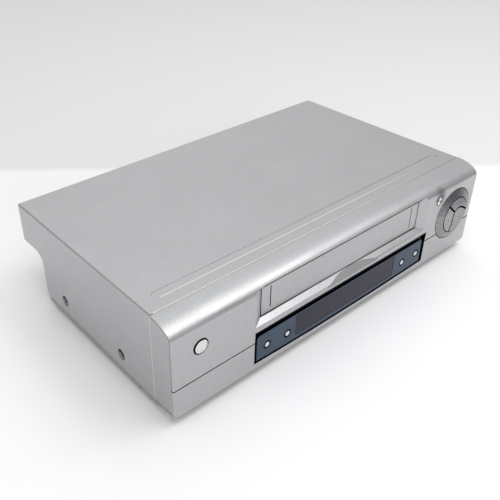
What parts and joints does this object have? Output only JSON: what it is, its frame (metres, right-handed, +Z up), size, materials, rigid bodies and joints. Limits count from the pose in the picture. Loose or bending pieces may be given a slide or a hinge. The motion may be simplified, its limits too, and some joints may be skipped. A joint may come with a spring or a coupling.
{
  "type": "video cassette recorder",
  "caption": "Compact silver front-loading video cassette recorder with a sprung cassette flap, slate display panel, round transport button cluster and a working tape deck inside.",
  "frame": {"origin": "under the middle of the recorder, on the surface that it stands on", "axes": "+X to the right seen from the front, the front faces -Y, +Z up"},
  "size_m": [0.38, 0.2308, 0.093],
  "materials": {
    "silver_sheet": "satin silver paint on folded steel sheet",
    "silver_moulding": "satin silver paint on moulded plastic",
    "flap_silver": "satin silver paint",
    "pan_grey": "grey-beige paint",
    "rear_grey": "plain grey sheet",
    "foot_rubber": "matt black",
    "screw_black": "black zinc",
    "spring_steel": "bright wire",
    "slate_panel": "slate blue, semi-gloss",
    "dark_lens": "dark tinted acrylic, glossy",
    "display_glass": "display tube",
    "button_silver": "satin silver, slightly glossy",
    "ring_silver": "satin silver with fine brushed lines",
    "board_green": "green board",
    "switch_black": "black",
    "deck_steel": "zinc plated steel",
    "drum_aluminium": "turned aluminium",
    "shaft_steel": "ground steel",
    "bearing_brass": "sintered bronze",
    "coil_copper": "enamelled coils in resin",
    "gear_white": "natural moulding",
    "pulley_grey": "dark moulding",
    "drive_rubber": "matt black",
    "head_metal": "screened head",
    "motor_can": "steel can",
    "core_brown": "varnished core and tape",
    "can_blue": "sleeved cans",
    "socket_black": "black moulding",
    "tuner_steel": "tinned steel"
  },
  "bodies": {
    "casing": {"top_cover": "silver_sheet", "front_panel": "silver_moulding", "front_frame": "silver_moulding", "base_pan": "pan_grey", "rear_panel": "rear_grey", "feet": "foot_rubber", "cover_screws": "screw_black", "flap_spring": "spring_steel", "display_panel": "slate_panel", "display_lens": "dark_lens", "display_tube": "display_glass", "control_ring": "ring_silver", "front_board": "board_green", "tact_switches": "switch_black", "deck_plate": "deck_steel", "deck_screws": "shaft_steel", "lower_drum": "drum_aluminium", "capstan_bearing": "bearing_brass", "capstan_stator": "coil_copper", "drive_belt": "drive_rubber", "tape_posts": "shaft_steel", "erase_head": "head_metal", "sound_head": "head_metal", "cassette_lamp": "socket_black", "loading_motor": "motor_can", "left_rail": "deck_steel", "right_rail": "deck_steel", "main_board": "board_green", "power_transformer": "core_brown", "capacitors": "can_blue", "heat_sink": "drum_aluminium", "tuner_box": "tuner_steel", "rear_sockets": "socket_black", "mains_inlet": "socket_black"},
    "flap": {"cassette_flap": "flap_silver"},
    "standby": {"standby_button": "button_silver"},
    "eject": {"eject_button": "button_silver"},
    "monitor": {"monitor_button": "button_silver"},
    "record": {"record_button": "button_silver"},
    "channel_down": {"channel_down_button": "button_silver"},
    "channel_up": {"channel_up_button": "button_silver"},
    "rewind": {"rewind_button": "button_silver"},
    "play": {"play_button": "button_silver"},
    "forward": {"forward_button": "button_silver"},
    "drum": {"head_drum": "drum_aluminium"},
    "capstan_rotor": {"capstan": "shaft_steel"},
    "centre_drive": {"centre_pulley": "pulley_grey"},
    "idler_lever": {"idler_arm": "gear_white"},
    "idler_roller": {"idler_wheel": "drive_rubber"},
    "supply_table": {"supply_reel": "gear_white"},
    "takeup_table": {"takeup_reel": "gear_white"},
    "pinch_lever": {"pinch_arm": "deck_steel"},
    "pinch_tyre": {"pinch_roller": "drive_rubber"},
    "tension_lever": {"tension_arm": "deck_steel"},
    "supply_slide": {"supply_guide": "shaft_steel"},
    "takeup_slide": {"takeup_guide": "shaft_steel"},
    "worm": {"loading_worm": "gear_white"},
    "worm_wheel": {"loading_wheel": "gear_white"},
    "carriage": {"carriage_slider": "deck_steel"},
    "holder": {"cassette_holder": "deck_steel"}
  },
  "joints": [
    {"name": "flap_swing", "type": "hinge", "parent": "casing", "child": "flap", "pos_m": [0, -0.10505, 0.0832], "axis": [1, 0, 0], "range_deg": [0, 88], "stiffness_Nm_per_rad": 0.004, "springref_deg": -20.05},
    {"name": "standby_press", "type": "slide", "parent": "casing", "child": "standby", "axis": [0, 1, 0], "range_m": [0, 0.0012], "stiffness_N_per_m": 500, "springref_m": -0.0006},
    {"name": "eject_press", "type": "slide", "parent": "casing", "child": "eject", "axis": [0, 1, 0], "range_m": [0, 0.0012], "stiffness_N_per_m": 500, "springref_m": -0.0006},
    {"name": "monitor_press", "type": "slide", "parent": "casing", "child": "monitor", "axis": [0, 1, 0], "range_m": [0, 0.0012], "stiffness_N_per_m": 500, "springref_m": -0.0006},
    {"name": "record_press", "type": "slide", "parent": "casing", "child": "record", "axis": [0, 1, 0], "range_m": [0, 0.0012], "stiffness_N_per_m": 500, "springref_m": -0.0006},
    {"name": "channel_down_press", "type": "slide", "parent": "casing", "child": "channel_down", "axis": [0, 1, 0], "range_m": [0, 0.0012], "stiffness_N_per_m": 500, "springref_m": -0.0006},
    {"name": "channel_up_press", "type": "slide", "parent": "casing", "child": "channel_up", "axis": [0, 1, 0], "range_m": [0, 0.0012], "stiffness_N_per_m": 500, "springref_m": -0.0006},
    {"name": "rewind_press", "type": "slide", "parent": "casing", "child": "rewind", "axis": [0, 1, 0], "range_m": [0, 0.0012], "stiffness_N_per_m": 500, "springref_m": -0.0006},
    {"name": "play_press", "type": "slide", "parent": "casing", "child": "play", "axis": [0, 1, 0], "range_m": [0, 0.0012], "stiffness_N_per_m": 500, "springref_m": -0.0006},
    {"name": "forward_press", "type": "slide", "parent": "casing", "child": "forward", "axis": [0, 1, 0], "range_m": [0, 0.0012], "stiffness_N_per_m": 500, "springref_m": -0.0006},
    {"name": "drum_spin", "type": "hinge", "parent": "casing", "child": "drum", "pos_m": [0, 0.04435, 0.0342], "axis": [0, 0.1028, 0.9947], "continuous": true},
    {"name": "capstan_spin", "type": "hinge", "parent": "casing", "child": "capstan_rotor", "pos_m": [0.066, 0.01935, 0.025], "axis": [0, 0, 1], "continuous": true},
    {"name": "centre_spin", "type": "hinge", "parent": "casing", "child": "centre_drive", "pos_m": [0, -0.06765, 0.025], "axis": [0, 0, 1], "continuous": true},
    {"name": "idler_swing", "type": "hinge", "parent": "casing", "child": "idler_lever", "pos_m": [0, -0.06765, 0.029], "axis": [0, 0, 1], "range_deg": [-29, 29]},
    {"name": "idler_spin", "type": "hinge", "parent": "idler_lever", "child": "idler_roller", "pos_m": [0, -0.03965, 0.032], "axis": [0, 0, 1], "continuous": true},
    {"name": "supply_spin", "type": "hinge", "parent": "casing", "child": "supply_table", "pos_m": [-0.046, -0.04165, 0.032], "axis": [0, 0, 1], "continuous": true},
    {"name": "takeup_spin", "type": "hinge", "parent": "casing", "child": "takeup_table", "pos_m": [0.046, -0.04165, 0.032], "axis": [0, 0, 1], "continuous": true},
    {"name": "pinch_swing", "type": "hinge", "parent": "casing", "child": "pinch_lever", "pos_m": [0.086, 0.01935, 0.03], "axis": [0, 0, 1], "range_deg": [0, 38]},
    {"name": "pinch_spin", "type": "hinge", "parent": "pinch_lever", "child": "pinch_tyre", "pos_m": [0.07848, 0.03796, 0.04], "axis": [0, 0, 1], "continuous": true},
    {"name": "tension_swing", "type": "hinge", "parent": "casing", "child": "tension_lever", "pos_m": [-0.084, 0.02135, 0.03], "axis": [0, 0, 1], "range_deg": [0, 24]},
    {"name": "supply_guide_run", "type": "slide", "parent": "casing", "child": "supply_slide", "axis": [-0.3846, 0.9231, 0], "range_m": [0, 0.065]},
    {"name": "takeup_guide_run", "type": "slide", "parent": "casing", "child": "takeup_slide", "axis": [0.3846, 0.9231, 0], "range_m": [0, 0.065]},
    {"name": "carriage_run", "type": "slide", "parent": "casing", "child": "carriage", "axis": [0, 1, 0], "range_m": [0, 0.03]},
    {"name": "holder_drop", "type": "slide", "parent": "carriage", "child": "holder", "axis": [0, 0, -1], "range_m": [0, 0.022]},
    {"name": "worm_spin", "type": "hinge", "parent": "casing", "child": "worm", "pos_m": [-0.096, 0.04055, 0.0382], "axis": [0, 1, 0], "continuous": true},
    {"name": "worm_wheel_spin", "type": "hinge", "parent": "casing", "child": "worm_wheel", "pos_m": [-0.0822, 0.04055, 0.0382], "axis": [0, 0, 1], "continuous": true}
  ],
  "couplings": [
    {"joint": "centre_spin", "follows": "capstan_spin", "ratio": 0.64286},
    {"joint": "takeup_guide_run", "follows": "supply_guide_run", "ratio": 1},
    {"joint": "worm_wheel_spin", "follows": "worm_spin", "ratio": -0.041667}
  ]
}
